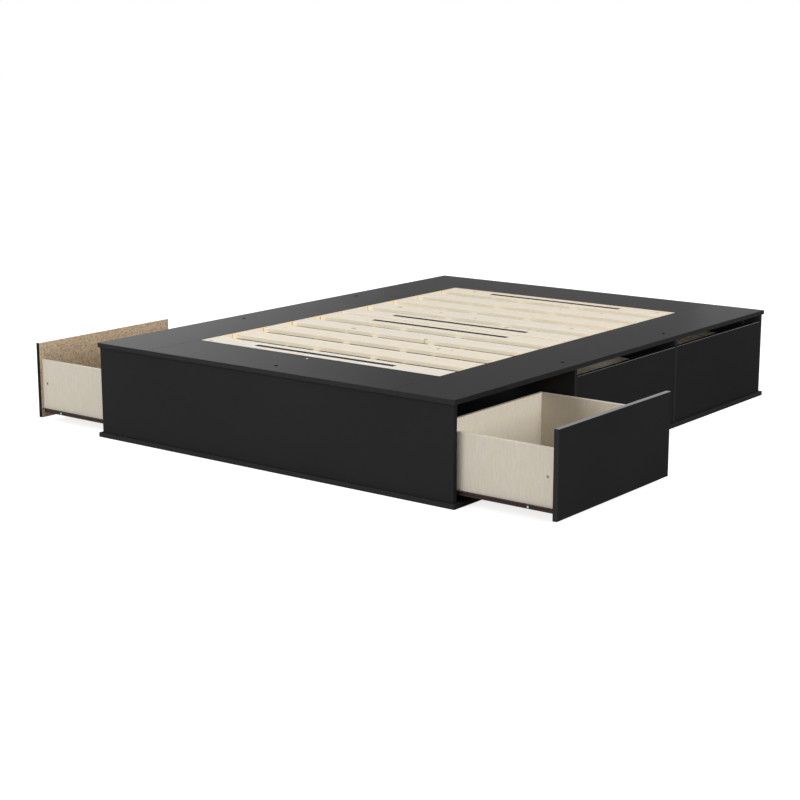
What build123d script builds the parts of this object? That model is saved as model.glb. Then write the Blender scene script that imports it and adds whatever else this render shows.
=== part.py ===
"""Platform bed for a 60 by 80 inch mattress, with three storage drawers on each long side.

Frame: millimetres, +Z up, origin on the floor at the middle of the footprint.
X runs across the bed, Y along it, and the foot end faces -Y.
The two drawers nearest the foot stand open on their runners, and the other four are shut.
"""

import os
from math import sqrt

from build123d import *

# Overall sizes
DECK_WIDTH = 1550.0
DECK_LENGTH = 2075.0
BED_HEIGHT = 340.0
BOARD = 16.0
EDGE_EASE = 0.8

# Deck, base and carcass
DECK_SIDE_BORDER = 248.0
DECK_END_BORDER = 262.0
DECK_OVERHANG = 6.0
BASE_OVERHANG = 10.0
BASE_WIDTH = 100.0
NOTCH_CLEARANCE = 0.5
BRACE_INSET = 66.5

# Slat bed
SLATS_PER_SET = 5
SLAT_WIDTH = 100.0
SLAT_THICKNESS = 14.0
SLAT_END_GAP = 2.0
SLAT_EDGE_EASE = 2.0
SET_END_GAP = 2.0
SET_MIDDLE_GAP = 27.0
LEDGE_BEARING = 25.0
LEDGE_LAP = 15.0
LEDGE_HEIGHT = 22.0
GRIP_LENGTH = 610.0
GRIP_WIDTH = 20.0
GRIP_THICKNESS = 1.0
STRAP_WIDTH = 25.0
STRAP_THICKNESS = 1.5
STRAP_END_INSET = 12.0

# Drawer boxes
DRAWER_DEPTH = 456.0
DRAWER_TRAVEL = 360.0
FRONT_REVEAL = 2.0
FINGER_GAP = 27.0
SIDE_LIFT = 21.0
SIDE_HEIGHT = 196.0
SIDE_BOARD = 12.0
SPINE_CLEARANCE = 15.0
BOTTOM_PANEL = 3.0
BOTTOM_RISE = 10.0
GROOVE_DEPTH = 6.0
GROOVE_PLAY = 0.2

# Roller runners
RUNNER_LENGTH = 450.0
RUNNER_SPACE = 12.7
RUNNER_SHEET = 1.2
RUNNER_SETBACK = 3.0
MEMBER_HEIGHT = 15.2
MEMBER_SHELF = 12.0
MEMBER_FLANGE = 9.5
CHANNEL_FLANGE = 10.0
LIP_HEIGHT = 2.8
LIP_CLEARANCE = 1.0
ROLLER_DIAMETER = 22.0
ROLLER_WIDTH = 6.0
ROLLER_INSET = 14.0
ROLLER_DROP = 2.0
ROLLER_SIDE_GAP = 0.4
RUN_GAP = 0.3
AXLE_DIAMETER = 6.0
AXLE_CLEARANCE = 0.1
LUG_WIDTH = 16.0
LUG_TAPER = 60.0
LUG_MARGIN = 3.0
STOP_HEIGHT = 3.0
STOP_LENGTH = 4.0

BAY_NAMES = ("foot", "middle", "head")
OPEN_BAY = "foot"
SIDES = {"right": 1, "left": -1}
ENDS = {"foot": -1, "head": 1}

# Carcass levels and places that follow from the sizes above
deck_bottom = BED_HEIGHT - BOARD
half_width = DECK_WIDTH / 2 - DECK_OVERHANG
half_length = DECK_LENGTH / 2 - DECK_OVERHANG
base_half_width = half_width + BASE_OVERHANG
base_half_length = half_length + BASE_OVERHANG
bay_width = (2 * half_length - (len(BAY_NAMES) + 1) * BOARD) / len(BAY_NAMES)
bay_pitch = bay_width + BOARD
opening_half_width = DECK_WIDTH / 2 - DECK_SIDE_BORDER
opening_half_length = DECK_LENGTH / 2 - DECK_END_BORDER
ledge_inner = opening_half_width - LEDGE_BEARING
ledge_outer = opening_half_width + LEDGE_LAP

# Drawer levels, and places measured outwards from the bed's centre line with the drawer shut
front_inner = half_width - BOARD
front_bottom = BOARD + FRONT_REVEAL
front_top = deck_bottom - FINGER_GAP
side_bottom = front_bottom + SIDE_LIFT
groove_bottom = side_bottom + BOTTOM_RISE
groove_top = groove_bottom + BOTTOM_PANEL + 2 * GROOVE_PLAY
box_length = DRAWER_DEPTH + SIDE_BOARD
box_back = front_inner - box_length
spine_outer = box_back - SPINE_CLEARANCE
spine_inner = spine_outer - BOARD

# Runner levels and places: the distances across a bay are measured from its middle
bay_wall = bay_width / 2
box_side = bay_wall - RUNNER_SPACE
box_inside = box_side - SIDE_BOARD
flange_top = side_bottom - RUNNER_SHEET + MEMBER_HEIGHT
flange_under = flange_top - RUNNER_SHEET
roller_radius = ROLLER_DIAMETER / 2
front_axle_height = flange_under - RUN_GAP - roller_radius
rear_axle_height = front_axle_height - ROLLER_DROP
track_top = rear_axle_height - roller_radius - RUN_GAP
channel_roof = flange_top + LIP_CLEARANCE + LIP_HEIGHT
channel_mouth = bay_wall - CHANNEL_FLANGE
runner_front = front_inner - RUNNER_SETBACK
runner_back = runner_front - RUNNER_LENGTH
front_axle = runner_front - ROLLER_INSET
rear_axle = runner_back + ROLLER_INSET
front_roller_outside = bay_wall - RUNNER_SHEET - ROLLER_SIDE_GAP
front_roller_inside = front_roller_outside - ROLLER_WIDTH
rear_roller_inside = channel_mouth + RUNNER_SHEET + ROLLER_SIDE_GAP
rear_roller_outside = rear_roller_inside + ROLLER_WIDTH


def save(name, piece):
    """Labels a finished piece and writes it as its own STEP file."""
    piece.part.label = name
    export_step(piece.part, f"parts/{name}.step")


def bay_plane(side, bay):
    """Floor plane in the middle of a bay, with its X pointing out of the drawer opening."""
    middle = (BAY_NAMES.index(bay) - (len(BAY_NAMES) - 1) / 2) * bay_pitch
    return Plane(origin=(0, middle, 0), x_dir=(SIDES[side], 0, 0), z_dir=(0, 0, 1))


def section_plane(bay, out):
    """Plane square to a drawer's travel, at a distance out from the bed's centre line."""
    return Plane(origin=bay.from_local_coords((out, 0, 0)), x_dir=bay.y_dir, z_dir=bay.x_dir)


def middle_plane(bay):
    """Upright plane down the middle of a bay, which its two runners mirror about."""
    return Plane(origin=bay.origin, x_dir=bay.x_dir, z_dir=bay.y_dir)


def deck_boards():
    """Mattress deck: two full-length side boards, with a foot and a head board between them."""
    level = Plane.XY.offset(deck_bottom)
    for name, sign in SIDES.items():
        with BuildPart() as board:
            with BuildSketch(level):
                with Locations((sign * (opening_half_width + DECK_SIDE_BORDER / 2), 0)):
                    Rectangle(DECK_SIDE_BORDER, DECK_LENGTH)
            extrude(amount=BOARD)
            chamfer(board.edges().group_by(Axis.Z)[-1], EDGE_EASE)
        save(f"deck_{name}", board)
    for name, sign in ENDS.items():
        with BuildPart() as board:
            with BuildSketch(level):
                with Locations((0, sign * (opening_half_length + DECK_END_BORDER / 2))):
                    Rectangle(2 * opening_half_width, DECK_END_BORDER)
            extrude(amount=BOARD)
            chamfer(board.edges().group_by(Axis.Z)[-1], EDGE_EASE)
        save(f"deck_{name}", board)


def end_panels():
    """Upright panels that close the foot and the head, between the base and the deck."""
    for name, sign in ENDS.items():
        outwards = Axis((0, 0, 0), (0, sign, 0))
        with BuildPart() as panel:
            with BuildSketch(Plane.XY.offset(BOARD)):
                with Locations((0, sign * (half_length - BOARD / 2))):
                    Rectangle(2 * half_width, BOARD)
            extrude(amount=deck_bottom - BOARD)
            chamfer(panel.edges().group_by(outwards)[-1], EDGE_EASE)
        save(f"{name}_panel", panel)


def base_rails():
    """Flat boards on the floor that stand a little proud of the carcass all round."""
    with BuildPart() as side_rails:
        with BuildSketch():
            with GridLocations(2 * base_half_width - BASE_WIDTH, 0, 2, 1):
                Rectangle(BASE_WIDTH, 2 * base_half_length)
        extrude(amount=BOARD)
        chamfer(side_rails.edges().group_by(Axis.Z)[-1], EDGE_EASE)
    save("base_side_rails", side_rails)

    with BuildPart() as end_rails:
        with BuildSketch():
            with GridLocations(0, 2 * base_half_length - BASE_WIDTH, 1, 2):
                Rectangle(2 * (base_half_width - BASE_WIDTH), BASE_WIDTH)
        extrude(amount=BOARD)
        chamfer(end_rails.edges().group_by(Axis.Z)[-1], EDGE_EASE)
    save("base_end_rails", end_rails)


def dividers():
    """Uprights between the bays, notched at the top where the slat ledge crosses them."""
    notch_outer = ledge_outer + NOTCH_CLEARANCE
    notch_inner = ledge_inner - NOTCH_CLEARANCE
    notch_floor = deck_bottom - LEDGE_HEIGHT - NOTCH_CLEARANCE
    for name in SIDES:
        bay = bay_plane(name, "middle")
        outwards = Axis((0, 0, 0), bay.x_dir)
        with BuildPart() as panels:
            for wall in SIDES.values():
                face = Plane(
                    origin=bay.from_local_coords((0, (wall * bay_pitch + BOARD) / 2, 0)),
                    x_dir=bay.x_dir,
                    z_dir=-bay.y_dir,
                )
                with BuildSketch(face):
                    with BuildLine():
                        Polyline(
                            (spine_outer, BOARD),
                            (half_width, BOARD),
                            (half_width, deck_bottom),
                            (notch_outer, deck_bottom),
                            (notch_outer, notch_floor),
                            (notch_inner, notch_floor),
                            (notch_inner, deck_bottom),
                            (spine_outer, deck_bottom),
                            close=True,
                        )
                    make_face()
                extrude(amount=BOARD)
            chamfer(panels.edges().filter_by(Axis.Z).group_by(outwards)[-1], EDGE_EASE)
        save(f"dividers_{name}", panels)


def centre_frame():
    """Two lengthwise spines behind the drawers, and the braces that tie their ends together."""
    spine_end = half_length - BOARD
    notch_start = base_half_length - BASE_WIDTH - NOTCH_CLEARANCE
    with BuildPart() as spines:
        for sign in SIDES.values():
            with BuildSketch(Plane.YZ.offset(sign * (spine_inner + BOARD / 2) - BOARD / 2)):
                with BuildLine():
                    Polyline(
                        (0, 0),
                        (notch_start, 0),
                        (notch_start, BOARD),
                        (spine_end, BOARD),
                        (spine_end, deck_bottom),
                        (0, deck_bottom),
                        close=True,
                    )
                make_face()
                mirror(about=Plane.YZ)
            extrude(amount=BOARD)
    save("centre_spines", spines)

    with BuildPart() as braces:
        with BuildSketch(Plane.XY.offset(BOARD)):
            with GridLocations(0, 2 * (half_length - BRACE_INSET), 1, 2):
                Rectangle(2 * spine_inner, BOARD)
        extrude(amount=deck_bottom - BOARD)
    save("cross_braces", braces)


def slat_ledges():
    """Pine ledges under the inner edges of the side boards, which carry the slat ends."""
    with BuildPart() as ledges:
        with BuildSketch(Plane.XY.offset(deck_bottom - LEDGE_HEIGHT)):
            with GridLocations(ledge_inner + ledge_outer, 0, 2, 1):
                Rectangle(ledge_outer - ledge_inner, 2 * opening_half_length)
        extrude(amount=LEDGE_HEIGHT)
        chamfer(ledges.edges().filter_by(Axis.Y).group_by(Axis.Z)[0], SLAT_EDGE_EASE)
    save("slat_ledges", ledges)


def slat_sets():
    """Two sets of slats on webbing straps, with a grip strip on each set's first and last slat."""
    first = (SET_MIDDLE_GAP + SLAT_WIDTH) / 2
    last = opening_half_length - SET_END_GAP - SLAT_WIDTH / 2
    pitch = (last - first) / (SLATS_PER_SET - 1)
    for name, sign in ENDS.items():
        with BuildPart() as slats:
            with BuildSketch(Plane.XY.offset(deck_bottom)):
                with Locations((0, sign * (first + last) / 2)):
                    with GridLocations(0, pitch, 1, SLATS_PER_SET):
                        Rectangle(2 * (opening_half_width - SLAT_END_GAP), SLAT_WIDTH)
            extrude(amount=SLAT_THICKNESS)
            chamfer(slats.edges().filter_by(Axis.X).group_by(Axis.Z)[-1], SLAT_EDGE_EASE)
        save(f"slat_set_{name}", slats)

    with BuildPart() as grips:
        with BuildSketch(Plane.XY.offset(deck_bottom + SLAT_THICKNESS)):
            with Locations((0, -last), (0, -first), (0, first), (0, last)):
                Rectangle(GRIP_LENGTH, GRIP_WIDTH)
        extrude(amount=GRIP_THICKNESS)
    save("grip_strips", grips)

    with BuildPart() as straps:
        with BuildSketch(Plane.XY.offset(deck_bottom - STRAP_THICKNESS)):
            with GridLocations(spine_inner, first + last, 2, 2):
                Rectangle(STRAP_WIDTH, last - first + SLAT_WIDTH - 2 * STRAP_END_INSET)
        extrude(amount=STRAP_THICKNESS)
    save("slat_straps", straps)


def drawer_front(name, bay, out):
    """Flush front with a groove across its inner face for the bottom panel."""
    outwards = Axis((0, 0, 0), bay.x_dir)
    with BuildPart() as front:
        with BuildSketch(bay.offset(front_bottom)):
            with Locations((front_inner + out + BOARD / 2, 0)):
                Rectangle(BOARD, bay_width - 2 * FRONT_REVEAL)
        extrude(amount=front_top - front_bottom)
        chamfer(front.edges().group_by(outwards)[-1], EDGE_EASE)
        with BuildSketch(bay.offset(groove_bottom)):
            with Locations((front_inner + out + GROOVE_DEPTH / 2, 0)):
                Rectangle(GROOVE_DEPTH, 2 * (box_inside + GROOVE_DEPTH))
        extrude(amount=groove_top - groove_bottom, mode=Mode.SUBTRACT)
    save(f"{name}_front", front)


def drawer_box(name, bay, out):
    """Two grooved sides, the bottom panel that slides into them, and the back above it."""
    box_middle = box_back + box_length / 2 + out
    with BuildPart() as sides:
        with BuildSketch(bay.offset(side_bottom)):
            with Locations((box_middle, 0)):
                with GridLocations(0, box_side + box_inside, 1, 2):
                    Rectangle(box_length, SIDE_BOARD)
        extrude(amount=SIDE_HEIGHT)
        chamfer(sides.edges().filter_by(Axis.X).group_by(Axis.Z)[-1], EDGE_EASE)
        with BuildSketch(bay.offset(groove_bottom)):
            with Locations((box_middle, 0)):
                Rectangle(box_length, 2 * (box_inside + GROOVE_DEPTH))
        extrude(amount=groove_top - groove_bottom, mode=Mode.SUBTRACT)
    save(f"{name}_sides", sides)

    with BuildPart() as back:
        with BuildSketch(bay.offset(groove_top)):
            with Locations((box_back + out + SIDE_BOARD / 2, 0)):
                Rectangle(SIDE_BOARD, 2 * box_inside)
        extrude(amount=side_bottom + SIDE_HEIGHT - groove_top)
        chamfer(back.edges().filter_by(Axis.Y).group_by(Axis.Z)[-1], EDGE_EASE)
    save(f"{name}_back", back)

    groove_reach = GROOVE_DEPTH - GROOVE_PLAY
    with BuildPart() as bottom:
        with BuildSketch(bay.offset(groove_bottom + GROOVE_PLAY)):
            with Locations((box_middle + groove_reach / 2, 0)):
                Rectangle(box_length + groove_reach, 2 * (box_inside + groove_reach))
        extrude(amount=BOTTOM_PANEL)
    save(f"{name}_bottom", bottom)


def axle_plane(bay, out, root, height):
    """Plane across a bay at the root of a roller's axle."""
    return Plane(
        origin=bay.from_local_coords((out, root, height)), x_dir=bay.x_dir, z_dir=bay.y_dir
    )


def drawer_runners(name, bay, out):
    """Bent steel members under a drawer's two sides, each with an axle on a lug near its rear end."""
    web = box_side + RUNNER_SHEET
    lug_bottom = rear_axle_height - AXLE_DIAMETER / 2 - LUG_MARGIN
    with BuildPart() as runners:
        with BuildSketch(section_plane(bay, runner_back + out)):
            with BuildLine():
                Polyline(
                    (box_side - MEMBER_SHELF, side_bottom - RUNNER_SHEET),
                    (web, side_bottom - RUNNER_SHEET),
                    (web, flange_under),
                    (box_side + MEMBER_FLANGE, flange_under),
                    (box_side + MEMBER_FLANGE, flange_top),
                    (box_side, flange_top),
                    (box_side, side_bottom),
                    (box_side - MEMBER_SHELF, side_bottom),
                    close=True,
                )
            make_face()
        extrude(amount=RUNNER_LENGTH)
        with BuildSketch(axle_plane(bay, rear_axle + out, box_side, side_bottom)):
            Trapezoid(LUG_WIDTH, side_bottom - lug_bottom, LUG_TAPER, align=(Align.CENTER, Align.MIN))
        extrude(amount=RUNNER_SHEET)
        with BuildSketch(axle_plane(bay, rear_axle + out, web, rear_axle_height)):
            Circle(AXLE_DIAMETER / 2)
        extrude(amount=rear_roller_outside - web)
        mirror(about=middle_plane(bay))
    save(f"{name}_runners", runners)


def drawer_tracks():
    """Lipped channels on the bay walls, each with an axle at the front and a stop behind it."""
    stop_drop = rear_axle_height - track_top - STOP_HEIGHT
    stop_reach = sqrt(roller_radius**2 - stop_drop**2) + RUN_GAP
    stop_middle = rear_axle + DRAWER_TRAVEL + stop_reach + STOP_LENGTH / 2
    web = bay_wall - RUNNER_SHEET
    lip = channel_mouth + RUNNER_SHEET
    with BuildPart() as tracks:
        for side in SIDES:
            for place in BAY_NAMES:
                bay = bay_plane(side, place)
                with BuildSketch(section_plane(bay, runner_back)):
                    with BuildLine():
                        Polyline(
                            (bay_wall, track_top - RUNNER_SHEET),
                            (bay_wall, channel_roof + RUNNER_SHEET),
                            (channel_mouth, channel_roof + RUNNER_SHEET),
                            (channel_mouth, channel_roof - LIP_HEIGHT),
                            (lip, channel_roof - LIP_HEIGHT),
                            (lip, channel_roof),
                            (web, channel_roof),
                            (web, track_top),
                            (lip, track_top),
                            (lip, track_top + LIP_HEIGHT),
                            (channel_mouth, track_top + LIP_HEIGHT),
                            (channel_mouth, track_top - RUNNER_SHEET),
                            close=True,
                        )
                    make_face()
                    mirror(about=Plane.YZ)
                extrude(amount=RUNNER_LENGTH)
                with BuildSketch(bay.offset(track_top)):
                    with Locations((stop_middle, 0)):
                        with GridLocations(0, web + lip, 1, 2):
                            Rectangle(STOP_LENGTH, web - lip)
                extrude(amount=STOP_HEIGHT)
                for hand in SIDES.values():
                    with BuildSketch(axle_plane(bay, front_axle, hand * web, front_axle_height)):
                        Circle(AXLE_DIAMETER / 2)
                    extrude(amount=hand * (front_roller_inside - web))
    save("drawer_tracks", tracks)


def roller_pair(name, bay, out, height, inside):
    """Two nylon rollers on one axle line, one on each side of a bay."""
    bore_radius = AXLE_DIAMETER / 2 + AXLE_CLEARANCE
    with BuildPart() as pair:
        with BuildSketch(bay.offset(height)):
            with Locations((out + bore_radius, inside)):
                Rectangle(roller_radius - bore_radius, ROLLER_WIDTH, align=(Align.MIN, Align.MIN))
        revolve(axis=Axis(bay.from_local_coords((out, 0, height)), bay.y_dir))
        mirror(about=middle_plane(bay))
    save(name, pair)


def main():
    os.makedirs("parts", exist_ok=True)
    deck_boards()
    end_panels()
    base_rails()
    dividers()
    centre_frame()
    slat_ledges()
    slat_sets()
    drawer_tracks()
    for side in SIDES:
        for place in BAY_NAMES:
            bay = bay_plane(side, place)
            out = DRAWER_TRAVEL if place == OPEN_BAY else 0.0
            drawer = f"drawer_{side}_{place}"
            drawer_front(drawer, bay, out)
            drawer_box(drawer, bay, out)
            drawer_runners(drawer, bay, out)
            roller_pair(f"{drawer}_rollers", bay, rear_axle + out, rear_axle_height, rear_roller_inside)
            roller_pair(
                f"track_rollers_{side}_{place}", bay, front_axle, front_axle_height, front_roller_inside
            )


main()
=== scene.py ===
"""Looks of the platform bed with storage drawers: finishes, fasteners, grip tape, webbing and studio."""
import math

import bmesh
import bpy
from mathutils import Matrix, Vector


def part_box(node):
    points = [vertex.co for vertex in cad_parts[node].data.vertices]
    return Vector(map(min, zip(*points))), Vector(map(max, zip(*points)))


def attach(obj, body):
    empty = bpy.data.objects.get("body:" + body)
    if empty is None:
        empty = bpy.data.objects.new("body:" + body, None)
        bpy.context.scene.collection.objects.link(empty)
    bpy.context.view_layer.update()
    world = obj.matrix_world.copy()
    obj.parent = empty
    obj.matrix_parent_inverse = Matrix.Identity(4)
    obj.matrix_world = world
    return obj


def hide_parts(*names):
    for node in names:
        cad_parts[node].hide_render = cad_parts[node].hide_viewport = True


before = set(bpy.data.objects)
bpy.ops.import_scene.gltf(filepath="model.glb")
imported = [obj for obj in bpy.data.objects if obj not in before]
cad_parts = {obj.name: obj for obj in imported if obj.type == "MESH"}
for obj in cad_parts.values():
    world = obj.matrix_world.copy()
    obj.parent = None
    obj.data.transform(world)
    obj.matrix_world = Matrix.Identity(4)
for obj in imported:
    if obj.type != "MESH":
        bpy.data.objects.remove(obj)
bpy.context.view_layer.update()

MM = 0.001
SIDES = {"right": 1, "left": -1}
PLACES = ("foot", "middle", "head")
DRAWERS = [(f"drawer_{side}_{place}", side, place) for side in SIDES for place in PLACES]

# Share of a normal along an axis, on a flat face and on an edge with its eased arrises
FLAT = 0.9
EASED = 0.5

# How far from the bed's middle the sawn edges reach along it
EVERYWHERE = 10.0
SAWN_MARGIN = 0.1 * MM
SLAT_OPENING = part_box("deck_head")[0].y + SAWN_MARGIN

# Camera at the photograph's viewing angle
CAMERA_PLACE = (3.737, -5.163, 1.456)
CAMERA_AZIMUTH = 37.52
CAMERA_ELEVATION = 12.39
CAMERA_LENS = 78.16
CAMERA_SENSOR = 36.0

# Studio
AMBIENT = 0.42
FLOOR_SIZE = 60.0
FLOOR_ALBEDO = 0.55
FLOOR_SHADE = 0.5
FLOOR_GLOW = 0.8
FLOOR_DROP = 0.3 * MM
FLOOR_LAP = 20 * MM
KEY_PLACE = (-1.3, -5.8, 3.6)
KEY_SIZE = 3.5
KEY_POWER = 205.0
FILL_PLACE = (5.7, -0.8, 2.6)
FILL_SIZE = 2.5
FILL_POWER = 254.0
BACK_PLACE = (-6.9, 3.59, 2.2)
BACK_SIZE = 4.5
BACK_POWER = 176.0
BACK_COUNT = 8
BACK_FADE = 2.0
LEFT_PLACE = (-6.2, 0.4, 3.8)
LEFT_SIZE = 3.0
LEFT_POWER = 80.0
HEAD_PLACE = (1.6, 6.5, 3.6)
HEAD_SIZE = 4.2
HEAD_POWER = 120.0
FAR_PLACE = (-0.7, 7.17, 2.0)
FAR_SIZE = 4.0
FAR_POWER = 34.0

# Fasteners, with the screws' distances from the drawer front and from the front end of the track
CAP_RADIUS = 6 * MM
CAP_HEIGHT = 1.2 * MM
CAP_EDGE_INSET = 60 * MM
DECK_SCREW_INSET = 33.5 * MM
CAM_RADIUS = 6.2 * MM
CAM_HEIGHT = 0.6 * MM
CAM_SETBACK = 25 * MM
CAM_HEIGHT_ON_SIDE = 108 * MM
PANEL_CAM_RADIUS = 7.5 * MM
PANEL_CAM_INSET = 74 * MM
PANEL_CAM_DROP = 37 * MM
SCREW_RADIUS = 3.4 * MM
SCREW_HEIGHT = 1.6 * MM
RUNNER_SCREWS = (93 * MM, 405 * MM)
RUNNER_SCREW_RISE = 4.6 * MM
TRACK_SCREWS = (60 * MM, 235 * MM, 410 * MM)
FLUSH_SCREW_HEIGHT = 0.4 * MM
RIVET_RADIUS = 4.2 * MM
RIVET_HEIGHT = 0.8 * MM
RUNNER_SHEET = 1.2 * MM
ROLLER_GAP = 0.4 * MM
ROLLER_WIDTH = 6 * MM
HEAD_TURN = math.pi / 5
GOLDEN_TURN = 2.4

# Forms of the fastener heads, as shares of their radius and height
HEAD_SIDES = 28
RIM_DROP = 0.35
RIM_SLOPE = 1.5
RECESS_MOUTH = (0.64, 0.17)
RECESS_FLOOR = (0.42, 0.12)
RECESS_LEVEL = 0.25
DOME_NECK = [(0.6, 0.0), (0.6, 0.25)]
DOME_SHELL = [(1.0, 0.25), (1.0, 0.6), (0.94, 0.72), (0.7, 0.9), (0.35, 0.98)]

# Pine: the slats' spacing, the pith, the growth rings and the knots
SLAT_PITCH = 165 * MM
SLAT_SHIFT = 34 * MM
SECOND_HALF = 11.0
PITH_SHARE = 0.6
PITH_SPREAD = 0.5
PITH_TAPER = 0.10
PITH_LEVEL = 0.29
RING_WANDER = 0.02
RING_WIDTH = 4.6 * MM
RING_SHARPNESS = 3.0
GRAIN_DRIFT = (2.2, 14.0, 3.7)
GRAIN_FIBRE = (7.0, 520.0, 3.7)
KNOT_SHIFT = 1.73
KNOT_DENSITY = 8.0
KNOT_RARITY = 0.4
KNOT_SPAN = 0.2
KNOT_RIM = 0.02
KNOT_STRENGTH = 0.8

# Webbing with its staples, and grip tape
STAPLE_WIDTH = 10 * MM
STAPLE_WIRE = 0.35 * MM
STAPLE_LEG = 3 * MM
STAPLE_BEND = 0.6 * MM
STAPLE_SHARES = (0.3, 0.7)
WEBBING_RIB = 1.6 * MM
WEBBING_PICK = 1.1 * MM
WEBBING_SAG = 0.6 * MM
WEBBING_EASE = 30 * MM
WEBBING_STEP = 4 * MM
WEBBING_FILL = 0.95
TAPE_SEAT = 0.05 * MM
TAPE_RIPPLE = 0.04 * MM
TAPE_WAVES = (210, 330)
TAPE_STEP = 2 * MM
TAPE_FILL = 0.85
STRIP_RIM = 0.3
STRIP_CELLS = 4


def srgb(red, green, blue):
    """Linear colour of an 8-bit display colour."""
    shares = [value / 255 for value in (red, green, blue)]
    linear = [s / 12.92 if s <= 0.04045 else ((s + 0.055) / 1.055) ** 2.4 for s in shares]
    return (*linear, 1.0)


class Finish:
    """One material's node tree, with short calls for the nodes that the finishes share."""

    def __init__(self, name, settings):
        self.material = bpy.data.materials.new(name)
        self.material.use_nodes = True
        self.tree = self.material.node_tree
        self.shader = self.tree.nodes["Principled BSDF"]
        self.feed(self.shader, settings)
        self.place = self.add("ShaderNodeTexCoord", {}).outputs["Object"]

    def feed(self, node, values):
        """Links each socket value that comes from a node, and sets the others."""
        for socket, value in values.items():
            if isinstance(value, bpy.types.NodeSocket):
                self.tree.links.new(value, node.inputs[socket])
            else:
                node.inputs[socket].default_value = value

    def add(self, kind, values, **options):
        """A new node with its options and sockets set."""
        node = self.tree.nodes.new(kind)
        for option, value in options.items():
            setattr(node, option, value)
        self.feed(node, values)
        return node

    def stretched(self, x, y, z):
        """Object coordinates, in features per metre along each axis."""
        return self.add("ShaderNodeMapping", {"Vector": self.place, "Scale": (x, y, z)}).outputs["Vector"]

    def noise(self, vector, detail=2.0, roughness=0.5):
        """Soft noise of one feature to a unit of its coordinates."""
        values = {"Vector": vector, "Scale": 1.0, "Detail": detail, "Roughness": roughness}
        return self.add("ShaderNodeTexNoise", values).outputs["Fac"]

    def math(self, operation, first, second=0.0):
        """Result of a sum on one or two values."""
        return self.add("ShaderNodeMath", {0: first, 1: second}, operation=operation).outputs["Value"]

    def spread(self, value, low, high, start=0.25, end=0.75):
        """Maps the middle of a noise onto a range of values."""
        values = {"Value": value, "From Min": start, "From Max": end, "To Min": low, "To Max": high}
        return self.add("ShaderNodeMapRange", values).outputs["Result"]

    def mix(self, share, first, second):
        """Blend of two colours, all the second where the share is 1."""
        node = self.tree.nodes.new("ShaderNodeMix")
        node.data_type = "RGBA"
        self.feed(node, {0: share, 6: first, 7: second})
        return node.outputs[2]

    def colour(self, value):
        """Sets the surface's colour."""
        self.feed(self.shader, {"Base Color": value})

    def roughness(self, value):
        """Sets how far the surface scatters its gloss."""
        self.feed(self.shader, {"Roughness": value})

    def bump(self, height, distance):
        """Gives the surface a fine relief of a depth in metres."""
        node = self.add("ShaderNodeBump", {"Height": height, "Distance": distance})
        self.feed(self.shader, {"Normal": node.outputs["Normal"]})


def black_laminate(name, dark, light):
    """Satin melamine with a fine pearl emboss and faint handling marks."""
    look = Finish(name, {"Specular IOR Level": 0.0016})
    cloud = look.noise(look.stretched(3, 3, 3), detail=4)
    pearl = look.noise(look.stretched(900, 900, 900), detail=2)
    look.colour(look.mix(look.math("MULTIPLY", look.math("ADD", cloud, pearl), 0.5), dark, light))
    look.roughness(look.spread(cloud, 0.18, 0.23))
    look.bump(pearl, 0.03 * MM)
    return look.material


def edge_band(name, dark, light, specular):
    """Plastic band on the sawn edges of the black boards."""
    look = Finish(name, {"Specular IOR Level": specular})
    ripple = look.noise(look.stretched(60, 60, 60), detail=3)
    look.colour(look.mix(ripple, dark, light))
    look.roughness(look.spread(ripple, 0.1, 0.16))
    look.bump(ripple, 0.05 * MM)
    return look.material


def board_core(name, dark, light, reach):
    """Sawn particle board where an edge has no band, and a black edge beyond a reach along the bed."""
    look = Finish(name, {"Specular IOR Level": 0.2})
    chips = look.add("ShaderNodeTexVoronoi", {"Vector": look.stretched(420, 420, 420), "Scale": 1.0})
    dust = look.noise(look.stretched(1500, 1500, 1500), detail=2)
    sawn = look.mix(look.spread(dust, 0.2, 0.8), dark, look.mix(chips.outputs["Color"], dark, light))
    along = look.add("ShaderNodeSeparateXYZ", {"Vector": look.place}).outputs["Y"]
    beyond = look.math("GREATER_THAN", look.math("ABSOLUTE", along), reach)
    look.colour(look.mix(beyond, sawn, srgb(32, 32, 33)))
    look.roughness(look.spread(dust, 0.75, 0.95))
    look.bump(chips.outputs["Distance"], 0.25 * MM)
    return look.material


def drawer_laminate():
    """Beige paper foil with a fine upright streak and a linen-like cross thread."""
    look = Finish("drawer_laminate_face", {"Specular IOR Level": 0.25})
    streak = look.noise(look.stretched(260, 260, 26), detail=3, roughness=0.6)
    broad = look.noise(look.stretched(32, 32, 7), detail=2)
    thread = look.noise(look.stretched(30, 30, 900), detail=1)
    base = look.mix(look.spread(streak, 0, 1), srgb(193, 185, 170), srgb(212, 205, 191))
    tinted = look.mix(look.spread(broad, 0, 0.5), base, srgb(199, 189, 170))
    look.colour(look.mix(look.spread(thread, 0, 0.2), tinted, srgb(226, 219, 206)))
    look.roughness(look.spread(streak, 0.5, 0.62))
    look.bump(streak, 0.05 * MM)
    return look.material


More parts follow.
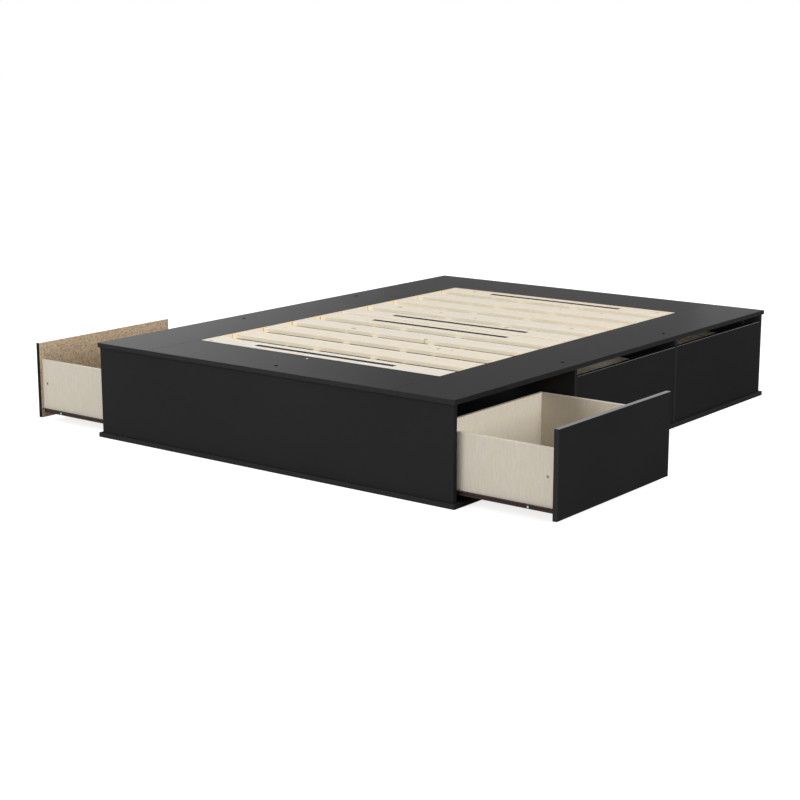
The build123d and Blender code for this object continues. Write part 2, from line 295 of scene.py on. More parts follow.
def front_backer():
    """Tan backing sheet on the inside of the drawer fronts, with pressed chips showing through."""
    look = Finish("front_backer", {"Specular IOR Level": 0.2})
    chips = look.add("ShaderNodeTexVoronoi", {"Vector": look.stretched(210, 180, 220), "Scale": 1.0})
    mottle = look.noise(look.stretched(75, 75, 90), detail=4, roughness=0.75)
    speck = look.noise(look.stretched(420, 420, 420), detail=2)
    chip = look.mix(chips.outputs["Color"], srgb(132, 107, 80), srgb(218, 199, 172))
    mottled = look.mix(look.spread(mottle, 0, 0.6), chip, srgb(196, 175, 147))
    look.colour(look.mix(look.spread(speck, 0, 0.7, start=0.52, end=0.75), mottled, srgb(122, 96, 70)))
    look.roughness(look.spread(mottle, 0.6, 0.8))
    look.bump(mottle, 0.08 * MM)
    return look.material


def hardboard(name, dark, light):
    """Thin pressed fibre board, smooth on top."""
    look = Finish(name, {"Specular IOR Level": 0.2})
    fibre = look.noise(look.stretched(500, 160, 400), detail=4, roughness=0.65)
    cloud = look.noise(look.stretched(9, 9, 9), detail=3)
    base = look.mix(look.spread(fibre, 0, 1), dark, light)
    look.colour(look.mix(look.spread(cloud, 0, 0.4), base, dark))
    look.roughness(look.spread(fibre, 0.55, 0.75))
    look.bump(fibre, 0.04 * MM)
    return look.material


def pine(name, along, across, pale, figure):
    """Planed pine: growth rings about a pith below each board, fibres along the grain, and a few knots."""
    look = Finish(name, {"Specular IOR Level": 0.25})
    axes = look.add("ShaderNodeSeparateXYZ", {"Vector": look.place}).outputs
    length, width, depth = axes[along], axes[across], axes["Z"]
    count = look.math("DIVIDE", look.math("ADD", look.math("ABSOLUTE", width), SLAT_SHIFT), SLAT_PITCH)
    half = look.math("MULTIPLY", look.math("GREATER_THAN", width, 0.0), SECOND_HALF)
    number = look.math("ADD", look.math("FLOOR", count), half)
    tone = look.add("ShaderNodeTexWhiteNoise", {"W": number}, noise_dimensions="1D").outputs["Value"]

    offset = look.math("MULTIPLY", look.math("SUBTRACT", tone, 0.5), PITH_SPREAD)
    from_pith_share = look.math("SUBTRACT", look.math("FRACT", count), PITH_SHARE)
    from_pith = look.math("MULTIPLY", from_pith_share, SLAT_PITCH)
    sideways = look.math("ADD", from_pith, look.math("MULTIPLY", offset, SLAT_PITCH))
    taper = look.math("MULTIPLY", length, look.math("MULTIPLY", offset, PITH_TAPER))
    below = look.math("ADD", look.math("SUBTRACT", depth, PITH_LEVEL), taper)
    seat = look.add("ShaderNodeCombineXYZ", {"X": length, "Y": width, "Z": number}).outputs["Vector"]
    drift = look.add("ShaderNodeMapping", {"Vector": seat, "Scale": GRAIN_DRIFT}).outputs["Vector"]
    wander = look.math("MULTIPLY", look.noise(drift, detail=3), RING_WANDER)
    square = look.math("ADD", look.math("MULTIPLY", sideways, sideways), look.math("MULTIPLY", below, below))
    radius = look.math("ADD", look.math("SQRT", square), wander)
    ring = look.math("FRACT", look.math("DIVIDE", radius, RING_WIDTH))
    late = look.math("POWER", ring, RING_SHARPNESS)

    fine = look.add("ShaderNodeMapping", {"Vector": seat, "Scale": GRAIN_FIBRE}).outputs["Vector"]
    fibre = look.noise(fine, detail=3, roughness=0.6)
    shifted = look.math("ADD", length, look.math("MULTIPLY", number, KNOT_SHIFT))
    spots = look.add("ShaderNodeCombineXYZ", {"X": shifted, "Y": width}).outputs["Vector"]
    knot_values = {"Vector": spots, "Scale": KNOT_DENSITY}
    knots = look.add("ShaderNodeTexVoronoi", knot_values, voronoi_dimensions="2D")
    chosen = look.math("SUBTRACT", knots.outputs["Color"], KNOT_RARITY)
    knot_size = look.math("MULTIPLY", chosen, KNOT_SPAN)
    inside = look.math("SUBTRACT", knot_size, knots.outputs["Distance"])
    knot = look.spread(inside, 0.0, 1.0, start=0.0, end=KNOT_RIM)

    warm = look.mix(look.math("MULTIPLY", tone, figure), pale, srgb(220, 202, 170))
    ringed = look.mix(look.math("MULTIPLY", late, figure), warm, srgb(208, 188, 152))
    grained = look.mix(look.spread(fibre, 0.0, figure, start=0.5, end=0.8), ringed, srgb(198, 174, 136))
    look.colour(look.mix(look.math("MULTIPLY", knot, KNOT_STRENGTH), grained, srgb(158, 112, 66)))
    look.roughness(look.spread(fibre, 0.55, 0.72))
    look.bump(look.math("ADD", fibre, late), 0.06 * MM)
    return look.material


def runner_enamel():
    """Dark brown baked enamel on sheet steel."""
    look = Finish("runner_enamel", {"Specular IOR Level": 0.12})
    peel = look.noise(look.stretched(420, 420, 420), detail=2)
    rub = look.noise(look.stretched(6, 60, 60), detail=4, roughness=0.65)
    base = look.mix(look.spread(peel, 0, 1), srgb(46, 33, 28), srgb(60, 46, 40))
    look.colour(look.mix(look.spread(rub, 0, 0.5, start=0.6, end=0.85), base, srgb(84, 70, 62)))
    look.roughness(look.spread(rub, 0.34, 0.5))
    look.bump(peel, 0.04 * MM)
    return look.material


def nylon():
    """Moulded white nylon, a little waxy and uneven."""
    look = Finish("roller_nylon_moulded", {"Specular IOR Level": 0.4, "Subsurface Weight": 0.15,
                                           "Subsurface Scale": 0.002})
    wax = look.noise(look.stretched(260, 260, 260), detail=3)
    look.colour(look.mix(wax, srgb(222, 219, 208), srgb(236, 234, 226)))
    look.roughness(look.spread(wax, 0.36, 0.5))
    look.bump(wax, 0.03 * MM)
    return look.material


def zinc(name, dark, light):
    """Plated steel or die-cast zinc with a brushed, slightly uneven sheen; in dark tones it paints the shade
    in the fastener recesses.
    """
    look = Finish(name, {"Metallic": 1.0})
    brush = look.noise(look.stretched(2400, 500, 2400), detail=3)
    bloom = look.noise(look.stretched(300, 300, 300), detail=2)
    look.colour(look.mix(look.spread(bloom, 0, 1), dark, light))
    look.roughness(look.spread(brush, 0.28, 0.45))
    look.bump(brush, 0.01 * MM)
    return look.material


def cap_plastic():
    """Black moulded plastic of the deck's screw covers."""
    look = Finish("cap_plastic", {"Specular IOR Level": 0.0})
    grain = look.noise(look.stretched(1800, 1800, 1800), detail=2)
    look.colour(look.mix(grain, srgb(8, 8, 9), srgb(15, 15, 16)))
    look.roughness(look.spread(grain, 0.85, 0.95))
    look.bump(grain, 0.02 * MM)
    return look.material


def grip_loops():
    """Black looped pile of the grip tape."""
    look = Finish("grip_loops", {"Specular IOR Level": 0.05})
    loops = look.add("ShaderNodeTexVoronoi", {"Vector": look.stretched(900, 900, 900), "Scale": 1.0})
    tuft = look.noise(look.stretched(220, 220, 220), detail=3)
    pile = look.mix(loops.outputs["Distance"], srgb(30, 30, 31), srgb(14, 14, 15))
    look.colour(look.mix(look.spread(tuft, 0, 0.5), pile, srgb(40, 40, 41)))
    look.roughness(look.spread(tuft, 0.8, 0.95))
    look.bump(loops.outputs["Distance"], 0.6 * MM)
    return look.material


def webbing():
    """Woven polyester webbing: ribs along the strap and picks across it."""
    look = Finish("strap_webbing", {"Specular IOR Level": 0.2, "Sheen Weight": 0.15, "Sheen Roughness": 0.4})
    axes = look.add("ShaderNodeSeparateXYZ", {"Vector": look.place}).outputs
    rib = look.math("SINE", look.math("MULTIPLY", axes["X"], 2 * math.pi / WEBBING_RIB))
    pick = look.math("SINE", look.math("MULTIPLY", axes["Y"], 2 * math.pi / WEBBING_PICK))
    weave = look.math("MULTIPLY", rib, pick)
    fray = look.noise(look.stretched(300, 60, 300), detail=3)
    yarn = look.mix(look.spread(weave, 0, 1, start=-1, end=1), srgb(176, 170, 156), srgb(222, 217, 205))
    look.colour(look.mix(look.spread(fray, 0, 0.4), yarn, srgb(190, 182, 165)))
    look.roughness(look.spread(fray, 0.75, 0.9))
    look.bump(weave, 0.15 * MM)
    return look.material


LAMINATE = black_laminate("black_laminate_face", srgb(37, 37, 38), srgb(47, 47, 48))
# Painted shade: the drawer fronts take a darker copy of the panels' black laminate, for the darker look that
# the light gives them.
FRONT_LAMINATE_PAINTED_SHADE = black_laminate("black_laminate_front_painted_shade", srgb(23, 23, 24), srgb(33, 33, 34))
EDGE_BAND = edge_band("black_edge_band", srgb(26, 26, 27), srgb(34, 34, 35), 0.006)
# Painted light: a paler copy of the black edge band, for edges that the light falls on more.
END_BAND_PAINTED_LIGHT = edge_band("pale_edge_band_painted_light", srgb(43, 43, 44), srgb(51, 51, 52), 0.006)
GLOSS_BAND = edge_band("glossy_edge_band", srgb(26, 26, 27), srgb(34, 34, 35), 0.25)
CORE = board_core("particle_board_core", srgb(132, 105, 74), srgb(196, 170, 128), EVERYWHERE)
# Partly painted light: the deck's sawn inner edge takes a much paler copy of the board core, partly a pale
# edge and partly light painted over the shade on it.
DECK_EDGE_PALE_AND_PAINTED_LIGHT = board_core("deck_sawn_edge_pale_and_painted_light", srgb(222, 206, 174), srgb(246, 236, 214), SLAT_OPENING)
BEIGE = drawer_laminate()
BACKER = front_backer()
BOTTOM_FACE = hardboard("hardboard_printed", srgb(188, 176, 152), srgb(205, 196, 176))
BOTTOM_UNDER = hardboard("hardboard_raw", srgb(120, 88, 58), srgb(150, 114, 78))
ENAMEL = runner_enamel()
NYLON = nylon()
PLATED = zinc("plated_steel", srgb(205, 206, 208), srgb(236, 237, 238))
DIE_CAST = zinc("die_cast_zinc", srgb(138, 134, 128), srgb(186, 182, 176))
# Painted shade: a dark zinc on the faces of the cross recesses, standing in for the shade inside them.
RECESS = zinc("recess_shadow", srgb(30, 29, 28), srgb(52, 50, 48))
CAP = cap_plastic()
LOOPS = grip_loops()
WEBBING = webbing()


def paint(node, choose):
    """Gives each face of a CAD node the finish that a rule picks from its normal."""
    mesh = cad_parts[node].data
    mesh.materials.clear()
    finishes = []
    for polygon in mesh.polygons:
        finish = choose(polygon.normal)
        if finish not in finishes:
            finishes.append(finish)
            mesh.materials.append(finish)
        polygon.material_index = finishes.index(finish)


def board(axis, face, edge):
    """Rule for a board: one finish on its two broad faces, another on its edges."""
    def choose(normal):
        return face if abs(normal[axis]) > FLAT else edge
    return choose


def band(normal):
    """Edge band of a black board, with a paler copy on the edges that face the foot and the head as painted
    light.
    """
    return END_BAND_PAINTED_LIGHT if abs(normal.y) > EASED else EDGE_BAND


def deck_board(inward):
    """Rule for a deck board: laminate and bands, with a sawn edge towards the slats."""
    def choose(normal):
        if abs(normal.z) > FLAT:
            return LAMINATE
        return DECK_EDGE_PALE_AND_PAINTED_LIGHT if normal.dot(inward) > FLAT else band(normal)
    return choose


def base_board(normal):
    """Rule for a base rail: laminate above and below, banded on its edges."""
    return LAMINATE if abs(normal.z) > FLAT else band(normal)


def slat_board(face, arris, edge):
    """Rule for a slat: planed above and below, sawn on its long edges, with eased arrises between them; edges
    and arrises take lit and shaded copies of the pine.
    """
    def choose(normal):
        if abs(normal.y) > FLAT:
            return edge
        return arris if abs(normal.y) > EASED else face
    return choose


def end_board(normal):
    """Rule for an end panel: its upright edges are banded, its top and bottom are sawn."""
    if abs(normal.y) > FLAT:
        return LAMINATE
    return CORE if abs(normal.z) > FLAT else EDGE_BAND


def divider_board(outward):
    """Rule for a divider: only the edge between two drawer fronts is banded."""
    def choose(normal):
        if abs(normal.y) > FLAT:
            return LAMINATE
        return EDGE_BAND if normal.x * outward > EASED else CORE
    return choose


def front_board(outward):
    """Rule for a drawer front: black outside in a darker, painted-shade laminate, bands on its edges, glossy
    above and below, tan inside.
    """
    # Painted light: the right-hand fronts' upright edges take the paler band, the left-hand fronts' the
    # darker one, by how the light falls on each side.
    upright = END_BAND_PAINTED_LIGHT if outward > 0 else EDGE_BAND

    def choose(normal):
        if normal.x * outward < -FLAT:
            return BACKER
        if abs(normal.y) > EASED:
            return upright
        return FRONT_LAMINATE_PAINTED_SHADE if normal.x * outward > FLAT else GLOSS_BAND
    return choose


def drawer_board(axis):
    """Rule for a drawer side or back: foil on its faces and top edge, sawn elsewhere."""
    def choose(normal):
        return BEIGE if abs(normal[axis]) > FLAT or normal.z > EASED else CORE
    return choose


def bottom_board(normal):
    """Rule for a drawer bottom: printed above, raw below and on its edges."""
    return BOTTOM_FACE if normal.z > FLAT else BOTTOM_UNDER


def all_over(finish):
    """Rule for one finish on every face."""
    return lambda normal: finish


def paint_frame():
    """Finishes of the deck, carcass, slats and tracks."""
    inward = {"left": (1, 0, 0), "right": (-1, 0, 0), "foot": (0, 1, 0), "head": (0, -1, 0)}
    for name, direction in inward.items():
        paint(f"deck_{name}", deck_board(Vector(direction)))
    for name in ("base_side_rails", "base_end_rails"):
        paint(name, base_board)
    for name in ("foot_panel", "head_panel"):
        paint(name, end_board)
    for side, outward in SIDES.items():
        paint(f"dividers_{side}", divider_board(outward))
    paint("centre_spines", board(0, LAMINATE, CORE))
    paint("cross_braces", board(1, LAMINATE, CORE))
    slat_pine = pine("slat_pine", "X", "Y", srgb(211, 205, 194), 0.3)
    # Painted shade: the eased arrises take a copy of the pine toned down from the edges' one, against the
    # light that they catch.
    slat_arris_painted_shade = pine("slat_arris_pine", "X", "Y", srgb(227, 217, 199), 0.1)
    # Partly painted light: the long edges take a paler, warmer copy of the pine, partly the sawn wood's tone
    # and partly light painted over the shade between the slats.
    slat_edge_sawn_and_painted_light = pine("slat_edge_pine", "X", "Y", srgb(250, 238, 213), 0.1)
    # Partly painted light: the slat ledges take a paler copy of the pine than the slat tops, partly the
    # wood's tone and partly light painted over their shade.
    ledge_pine_pale_and_painted_light = pine("ledge_pine_pale_and_painted_light", "Y", "X", srgb(230, 216, 190), 0.3)
    for name in ("slat_set_foot", "slat_set_head"):
        paint(name, slat_board(slat_pine, slat_arris_painted_shade, slat_edge_sawn_and_painted_light))
    paint("slat_ledges", all_over(ledge_pine_pale_and_painted_light))
    paint("drawer_tracks", all_over(ENAMEL))


def paint_drawers():
    """Finishes of the six drawers and their rollers."""
    for drawer, side, place in DRAWERS:
        paint(f"{drawer}_front", front_board(SIDES[side]))
        paint(f"{drawer}_sides", drawer_board(1))
        paint(f"{drawer}_back", drawer_board(0))
        paint(f"{drawer}_bottom", bottom_board)
        paint(f"{drawer}_runners", all_over(ENAMEL))
        paint(f"{drawer}_rollers", all_over(NYLON))
        paint(f"track_rollers_{side}_{place}", all_over(NYLON))


def piece(name, mesh, body, finishes):
    """A new object that rides on a CAD body."""
    made = bpy.data.objects.new(name, mesh)
    bpy.context.scene.collection.objects.link(made)
    for finish in finishes:
        made.data.materials.append(finish)
    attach(made, body)
    return made


def ring(bm, radius, height):
    """Points of a circle at a height."""
    angles = [2 * math.pi * k / HEAD_SIDES for k in range(HEAD_SIDES)]
    return [bm.verts.new((radius * math.cos(a), radius * math.sin(a), height)) for a in angles]


def cross(bm, arm, half_slot, height):
    """Outline of a cross recess, anticlockwise from its right arm."""
    corner = [(arm, -half_slot), (arm, half_slot), (half_slot, half_slot)]
    turns = [Matrix.Rotation(math.pi / 2 * k, 2) for k in range(4)]
    return [bm.verts.new((*(turn @ Vector(point)), height)) for turn in turns for point in corner]


def wall(bm, lower, upper):
    """Faces between two outlines with the same number of points."""
    pairs = list(zip(lower, upper))
    steps = zip(pairs, pairs[1:] + pairs[:1])
    return [bm.faces.new((a, c, d, b)) for (a, b), (c, d) in steps]


def outline(bm, points):
    """Edges of a closed outline, new where there are none yet."""
    steps = zip(points, points[1:] + points[:1])
    return [bm.edges.get(step) or bm.edges.new(step) for step in steps]


def to_mesh(bm, name):
    """New mesh from an edit mesh, with normals that agree."""
    bmesh.ops.recalc_face_normals(bm, faces=bm.faces)
    mesh = bpy.data.meshes.new(name)
    bm.to_mesh(mesh)
    bm.free()
    return mesh


def recessed_head(name, radius, height):
    """Round fastener head on its seat at Z = 0, with an eased rim and a cross recess whose faces take a
    second, dark finish that paints shade.
    """
    bm = bmesh.new()
    rim = RIM_DROP * height
    foot = ring(bm, radius, 0)
    shoulder = ring(bm, radius, height - rim)
    top = ring(bm, radius - RIM_SLOPE * rim, height)
    mouth = cross(bm, *(share * radius for share in RECESS_MOUTH), height)
    floor = cross(bm, *(share * radius for share in RECESS_FLOOR), RECESS_LEVEL * height)
    bm.faces.new(foot)
    wall(bm, foot, shoulder)
    wall(bm, shoulder, top)
    bmesh.ops.triangle_fill(bm, use_beauty=True, edges=outline(bm, top) + outline(bm, mouth))
    recess = wall(bm, mouth, floor) + [bm.faces.new(floor)]
    # The recess faces take the second finish, the painted shade.
    for face in recess:
        face.material_index = 1
    return to_mesh(bm, name)


def domed_head(name, radius, height):
    """Low dome with a small step at its rim, on a neck that stands on its seat at Z = 0."""
    bm = bmesh.new()
    rings = [ring(bm, share * radius, rise * height) for share, rise in DOME_NECK + DOME_SHELL]
    for lower, upper in zip(rings, rings[1:]):
        wall(bm, lower, upper)
    bm.faces.new(rings[0])
    bm.faces.new(rings[-1])
    return to_mesh(bm, name)


def staple_mesh():
    """Wire staple whose crown lies on Z = 0, with its legs going down."""
    curve = bpy.data.curves.new("staple_wire", "CURVE")
    curve.dimensions = "3D"
    curve.bevel_depth = STAPLE_WIRE
    curve.bevel_resolution = 2
    curve.use_fill_caps = True
    spline = curve.splines.new("POLY")
    end = STAPLE_WIDTH / 2
    left = [(-end, -STAPLE_LEG), (-end, -STAPLE_BEND), (STAPLE_BEND - end, 0)]
    points = left + [(-x, z) for x, z in reversed(left)]
    spline.points.add(len(points) - 1)
    for point, (x, z) in zip(spline.points, points):
        point.co = (x, 0, z + STAPLE_WIRE, 1)
    holder = bpy.data.objects.new("staple_wire", curve)
    mesh = bpy.data.meshes.new_from_object(holder)
    bpy.data.objects.remove(holder)
    return mesh


def facing(point, normal, turn=0.0):
    """Place for a small part: its Z along a surface's normal, turned about it."""
    stand = Vector(normal).to_track_quat("Z", "Y").to_matrix().to_4x4()
    return Matrix.Translation(point) @ stand @ Matrix.Rotation(turn, 4, "Z")


def stamp(name, template, places, body, *finishes):
    """Copies of a small mesh at several places, as one piece that rides on a body."""
    bm = bmesh.new()
    for place in places:
        copy = template.copy()
        copy.transform(place)
        bm.from_mesh(copy)
        bpy.data.meshes.remove(copy)
    mesh = bpy.data.meshes.new(name)
    bm.to_mesh(mesh)
    bm.free()
    piece(name, mesh, body, finishes)


def deck_fasteners():
    """Caps over the screws into the dividers and the foot brace, and a bare screw by the slats."""
    deck_low, deck_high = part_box("deck_right")
    board_thickness = deck_high.z - deck_low.z
    divider_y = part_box("dividers_right")[1].y - board_thickness / 2
    brace_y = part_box("cross_braces")[0].y + board_thickness / 2
    screw_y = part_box("deck_foot")[1].y - DECK_SCREW_INSET
    cap_x = deck_high.x - CAP_EDGE_INSET
    centres = [(a * cap_x, b * divider_y) for a in (-1, 1) for b in (-1, 1)] + [(0, brace_y)]
    caps = [facing((x, y, deck_high.z), (0, 0, 1)) for x, y in centres]
    screws = [facing((0, screw_y, deck_high.z), (0, 0, 1), HEAD_TURN)]
    stamp("deck_screw_caps", domed_head("cap", CAP_RADIUS, CAP_HEIGHT), caps, "bed", CAP)
    screw = recessed_head("deck_screw", SCREW_RADIUS, FLUSH_SCREW_HEIGHT)
    stamp("deck_screws", screw, screws, "bed", PLATED, RECESS)


def panel_fasteners():
    """Cam discs inside the end panels, which draw the deck down onto them."""
    cam = recessed_head("panel_cam", PANEL_CAM_RADIUS, CAM_HEIGHT)
    cams = []
    for panel, inward in (("foot_panel", 1), ("head_panel", -1)):
        low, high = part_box(panel)
        inner_face = high.y if inward > 0 else low.y
        for x in (low.x + PANEL_CAM_INSET, high.x - PANEL_CAM_INSET):
            cams.append(facing((x, inner_face, high.z - PANEL_CAM_DROP), (0, inward, 0), HEAD_TURN))
    stamp("panel_cam_discs", cam, cams, "bed", DIE_CAST, RECESS)


def drawer_fasteners():
    """Cam discs, runner screws and rivets that ride on each drawer."""
    cam = recessed_head("cam", CAM_RADIUS, CAM_HEIGHT)
    screw = recessed_head("screw", SCREW_RADIUS, SCREW_HEIGHT)
    rivet = domed_head("rivet", RIVET_RADIUS, RIVET_HEIGHT)
    for drawer, side, _ in DRAWERS:
        outward = SIDES[side]
        inner_face = min(abs(corner.x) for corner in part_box(f"{drawer}_front")) * outward
        low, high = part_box(f"{drawer}_sides")
        roller_low, roller_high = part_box(f"{drawer}_rollers")
        cams, screws, rivets = [], [], []
        for hand, face, roller_face in ((-1, low.y, roller_low.y), (1, high.y, roller_high.y)):
            normal = (0, hand, 0)
            cam_x = inner_face - outward * CAM_SETBACK
            cams.append(facing((cam_x, face, low.z + CAM_HEIGHT_ON_SIDE), normal, HEAD_TURN))
            for k, setback in enumerate(RUNNER_SCREWS):
                spot = (inner_face - outward * setback, face + hand * RUNNER_SHEET, low.z + RUNNER_SCREW_RISE)
                screws.append(facing(spot, normal, GOLDEN_TURN * k))
            axle = (roller_low + roller_high) / 2
            rivets.append(facing((axle.x, roller_face, axle.z), normal))
        stamp(f"{drawer}_cam_discs", cam, cams, drawer, DIE_CAST, RECESS)
        stamp(f"{drawer}_runner_screws", screw, screws, drawer, PLATED, RECESS)
        stamp(f"{drawer}_axle_rivets", rivet, rivets, drawer, PLATED)


def track_fasteners():
    """Flush screws that hold the tracks to the bay walls, and the rivets of their rollers."""
    screw = recessed_head("flush_screw", SCREW_RADIUS, FLUSH_SCREW_HEIGHT)
    rivet = domed_head("track_rivet", RIVET_RADIUS, RIVET_HEIGHT)
    track_low, track_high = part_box("drawer_tracks")
    screw_z = (track_low.z + track_high.z) / 2
    screws, rivets = [], []
    for _, side, place in DRAWERS:
        outward = SIDES[side]
        low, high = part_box(f"track_rollers_{side}_{place}")
        axle = (low + high) / 2
        for hand, roller_y in ((-1, low.y), (1, high.y)):
            web_y = roller_y + hand * ROLLER_GAP
            for k, setback in enumerate(TRACK_SCREWS):
                spot = (outward * (track_high.x - setback), web_y, screw_z)
                screws.append(facing(spot, (0, -hand, 0), GOLDEN_TURN * k))
            rivets.append(facing((axle.x, roller_y - hand * ROLLER_WIDTH, axle.z), (0, -hand, 0)))
    stamp("track_screws", screw, screws, "bed", PLATED, RECESS)
    stamp("track_axle_rivets", rivet, rivets, "bed", PLATED)


def strip_mesh(name, low, high, step, lift):
    """Open grid over a box's plan, at a height that a formula gives."""
    bm = bmesh.new()
    columns = max(STRIP_CELLS, round((high.x - low.x) / step))
    rows = max(STRIP_CELLS, round((high.y - low.y) / step))
    grid = []
    for i in range(columns + 1):
        x = low.x + (high.x - low.x) * i / columns
        line = [low.y + (high.y - low.y) * j / rows for j in range(rows + 1)]
        grid.append([bm.verts.new((x, y, lift(x, y))) for y in line])
    for i in range(columns):
        for j in range(rows):
            bm.faces.new((grid[i][j], grid[i + 1][j], grid[i + 1][j + 1], grid[i][j + 1]))
    mesh = bpy.data.meshes.new(name)
    bm.to_mesh(mesh)
    bm.free()
    return mesh


def thicken(obj, thickness):
    """Gives an open strip its thickness, upwards, with rounded rims."""
    solid = obj.modifiers.new("thickness", "SOLIDIFY")
    solid.thickness = thickness
    solid.offset = 1
    ease = obj.modifiers.new("rim", "BEVEL")
    ease.width = STRIP_RIM * thickness
    ease.segments = 2
    ease.limit_method = "ANGLE"


def islands(node):
    """Boxes of a CAD node's separate solids, told apart by their places."""
    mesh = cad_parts[node].data
    boxes = []
    for polygon in mesh.polygons:
        points = [mesh.vertices[k].co for k in polygon.vertices]
        low = Vector([min(p[a] for p in points) for a in range(3)])
        high = Vector([max(p[a] for p in points) for a in range(3)])
        for box in boxes:
            if all(box[0][a] <= high[a] and low[a] <= box[1][a] for a in range(3)):
                box[0][:] = [min(box[0][a], low[a]) for a in range(3)]
                box[1][:] = [max(box[1][a], high[a]) for a in range(3)]
                break
        else:
            boxes.append([low, high])
    return boxes


def grip_tapes():
    """Looped tape on the end slats of each set, which keeps the mattress from sliding."""
    for number, (low, high) in enumerate(islands("grip_strips")):
        def lift(x, y):
            ripple = math.sin(x * TAPE_WAVES[0] + number) * math.sin(y * TAPE_WAVES[1])
            return low.z + TAPE_SEAT + TAPE_RIPPLE * ripple

        mesh = strip_mesh("tape", low, high, TAPE_STEP, lift)
        tape = piece(f"grip_tape_{number + 1}", mesh, "bed", [LOOPS])
        thicken(tape, TAPE_FILL * (high.z - low.z))
        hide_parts("grip_strips")


def slat_webbing():
    """Straps stapled under the slats, which keep each set of five at its spacing."""
    staple = staple_mesh()
    slats = [box for name in ("slat_set_foot", "slat_set_head") for box in islands(name)]
    staples = []
    for number, (low, high) in enumerate(islands("slat_straps")):
        crossed = [(a.y, b.y) for a, b in slats if a.y < high.y and b.y > low.y]

        def lift(x, y):
            clear = min(max(start - y, y - end, 0.0) for start, end in crossed)
            return low.z - WEBBING_SAG * min(clear / WEBBING_EASE, 1.0) ** 2

        mesh = strip_mesh("strap", low, high, WEBBING_STEP, lift)
        strap = piece(f"slat_webbing_{number + 1}", mesh, "bed", [WEBBING])
        thicken(strap, WEBBING_FILL * (high.z - low.z))
        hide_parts("slat_straps")
        for start, end in crossed:
            for share in STAPLE_SHARES:
                spot = ((low.x + high.x) / 2, start + (end - start) * share, low.z)
                staples.append(facing(spot, (0, 0, -1)))
    stamp("webbing_staples", staple, staples, "bed", PLATED)


def seen_directly(tree):
    """Share of rays that look at the surroundings rather than light the bed."""
    path = tree.nodes.new("ShaderNodeLightPath").outputs
    share = path["Is Camera Ray"]
    for ray in ("Is Glossy Ray", "Is Transmission Ray"):
        either = tree.nodes.new("ShaderNodeMath")
        either.operation = "MAXIMUM"
        tree.links.new(share, either.inputs[0])
        tree.links.new(path[ray], either.inputs[1])
        share = either.outputs["Value"]
    return share


def surroundings():
    """White world, with a softer strength for the light that it throws on the bed."""
    world = bpy.data.worlds.new("studio")
    world.use_nodes = True
    tree = world.node_tree
    strength = tree.nodes.new("ShaderNodeMapRange")
    strength.inputs["To Min"].default_value = AMBIENT
    strength.inputs["To Max"].default_value = 1.0
    tree.links.new(seen_directly(tree), strength.inputs["Value"])
    background = tree.nodes["Background"]
    background.inputs["Color"].default_value = (1, 1, 1, 1)
    tree.links.new(strength.outputs["Result"], background.inputs["Strength"])
    bpy.context.scene.world = world


def open_floor():
    """Pale floor that fades to the white background and keeps the bed's shadow."""
    material = bpy.data.materials.new("floor")
    material.use_nodes = True
    tree = material.node_tree
    tree.nodes.remove(tree.nodes["Principled BSDF"])
    bounce = tree.nodes.new("ShaderNodeBsdfDiffuse")
    bounce.inputs["Color"].default_value = (FLOOR_ALBEDO, FLOOR_ALBEDO, FLOOR_ALBEDO, 1)
    shade = tree.nodes.new("ShaderNodeBsdfDiffuse")
    shade.inputs["Color"].default_value = (FLOOR_SHADE, FLOOR_SHADE, FLOOR_SHADE, 1)
    glow = tree.nodes.new("ShaderNodeEmission")
    glow.inputs["Strength"].default_value = FLOOR_GLOW
    shown = tree.nodes.new("ShaderNodeAddShader")
    tree.links.new(shade.outputs[0], shown.inputs[0])
    tree.links.new(glow.outputs[0], shown.inputs[1])
    both = tree.nodes.new("ShaderNodeMixShader")
    tree.links.new(seen_directly(tree), both.inputs[0])
    tree.links.new(bounce.outputs[0], both.inputs[1])
    tree.links.new(shown.outputs[0], both.inputs[2])
    tree.links.new(both.outputs[0], tree.nodes["Material Output"].inputs["Surface"])
    return material


def covered_floor():
    """The same floor without its glow, for the part that the bed's base encloses."""
    look = Finish("floor_under_bed", {"Specular IOR Level": 0.0, "Roughness": 0.9})
    look.colour((FLOOR_ALBEDO, FLOOR_ALBEDO, FLOOR_ALBEDO, 1))
    return look.material


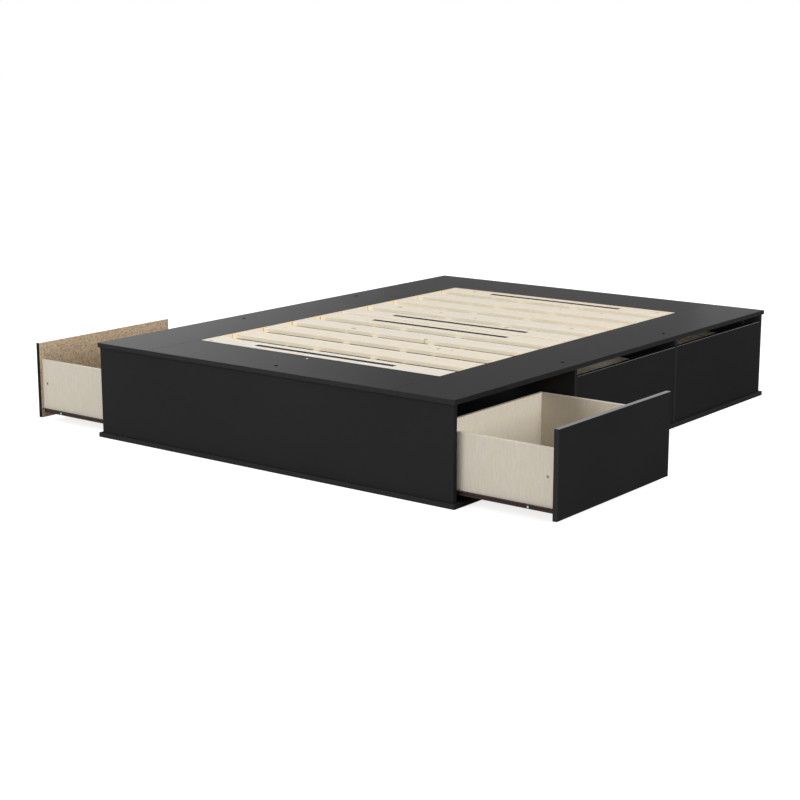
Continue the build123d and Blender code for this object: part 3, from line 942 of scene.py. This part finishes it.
def studio_floor():
    """Wide floor with its own finish in the field that the base encloses."""
    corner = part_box("base_side_rails")[1]
    edges = [(-FLOOR_SIZE / 2, FLOOR_LAP - reach, reach - FLOOR_LAP, FLOOR_SIZE / 2) for reach in corner.xy]
    bm = bmesh.new()
    grid = [[bm.verts.new((x, y, -FLOOR_DROP)) for y in edges[1]] for x in edges[0]]
    for i in range(3):
        for j in range(3):
            face = bm.faces.new((grid[i][j], grid[i + 1][j], grid[i + 1][j + 1], grid[i][j + 1]))
            face.material_index = int(i == j == 1)
    floor = bpy.data.objects.new("floor", to_mesh(bm, "floor"))
    floor.data.materials.append(open_floor())
    floor.data.materials.append(covered_floor())
    bpy.context.scene.collection.objects.link(floor)


def lamp(name, place, size, power):
    """Square soft lamp that looks at the middle of the bed."""
    light = bpy.data.lights.new(name, "AREA")
    light.size = size
    light.energy = power
    holder = bpy.data.objects.new(name, light)
    holder.location = place
    holder.rotation_euler = (-Vector(place)).to_track_quat("-Z", "Y").to_euler()
    bpy.context.scene.collection.objects.link(holder)


def fading_lamp(name, place, size, power, count, fade):
    """Row of lamps that overlap, so that their mirror image in the deck fades out at its side."""
    sideways = Vector(place).cross(Vector((0, 0, 1))).normalized()
    for k in range(count):
        shift = fade * (k / (count - 1) - 0.5)
        lamp(f"{name}_{k + 1}", Vector(place) + sideways * shift, size, power / count)


def camera():
    """Camera that stands where the photograph was taken from."""
    lens = bpy.data.cameras.new("camera")
    lens.lens = CAMERA_LENS
    lens.sensor_width = CAMERA_SENSOR
    holder = bpy.data.objects.new("camera", lens)
    holder.location = CAMERA_PLACE
    holder.rotation_euler = (math.radians(90 - CAMERA_ELEVATION), 0, math.radians(CAMERA_AZIMUTH))
    bpy.context.scene.collection.objects.link(holder)
    bpy.context.scene.camera = holder


paint_frame()
paint_drawers()
deck_fasteners()
panel_fasteners()
drawer_fasteners()
track_fasteners()
grip_tapes()
slat_webbing()
surroundings()
studio_floor()
lamp("key", KEY_PLACE, KEY_SIZE, KEY_POWER)
lamp("fill", FILL_PLACE, FILL_SIZE, FILL_POWER)
fading_lamp("back", BACK_PLACE, BACK_SIZE, BACK_POWER, BACK_COUNT, BACK_FADE)
lamp("left", LEFT_PLACE, LEFT_SIZE, LEFT_POWER)
lamp("head", HEAD_PLACE, HEAD_SIZE, HEAD_POWER)
lamp("far", FAR_PLACE, FAR_SIZE, FAR_POWER)
camera()
bpy.context.scene.view_settings.view_transform = "Standard"
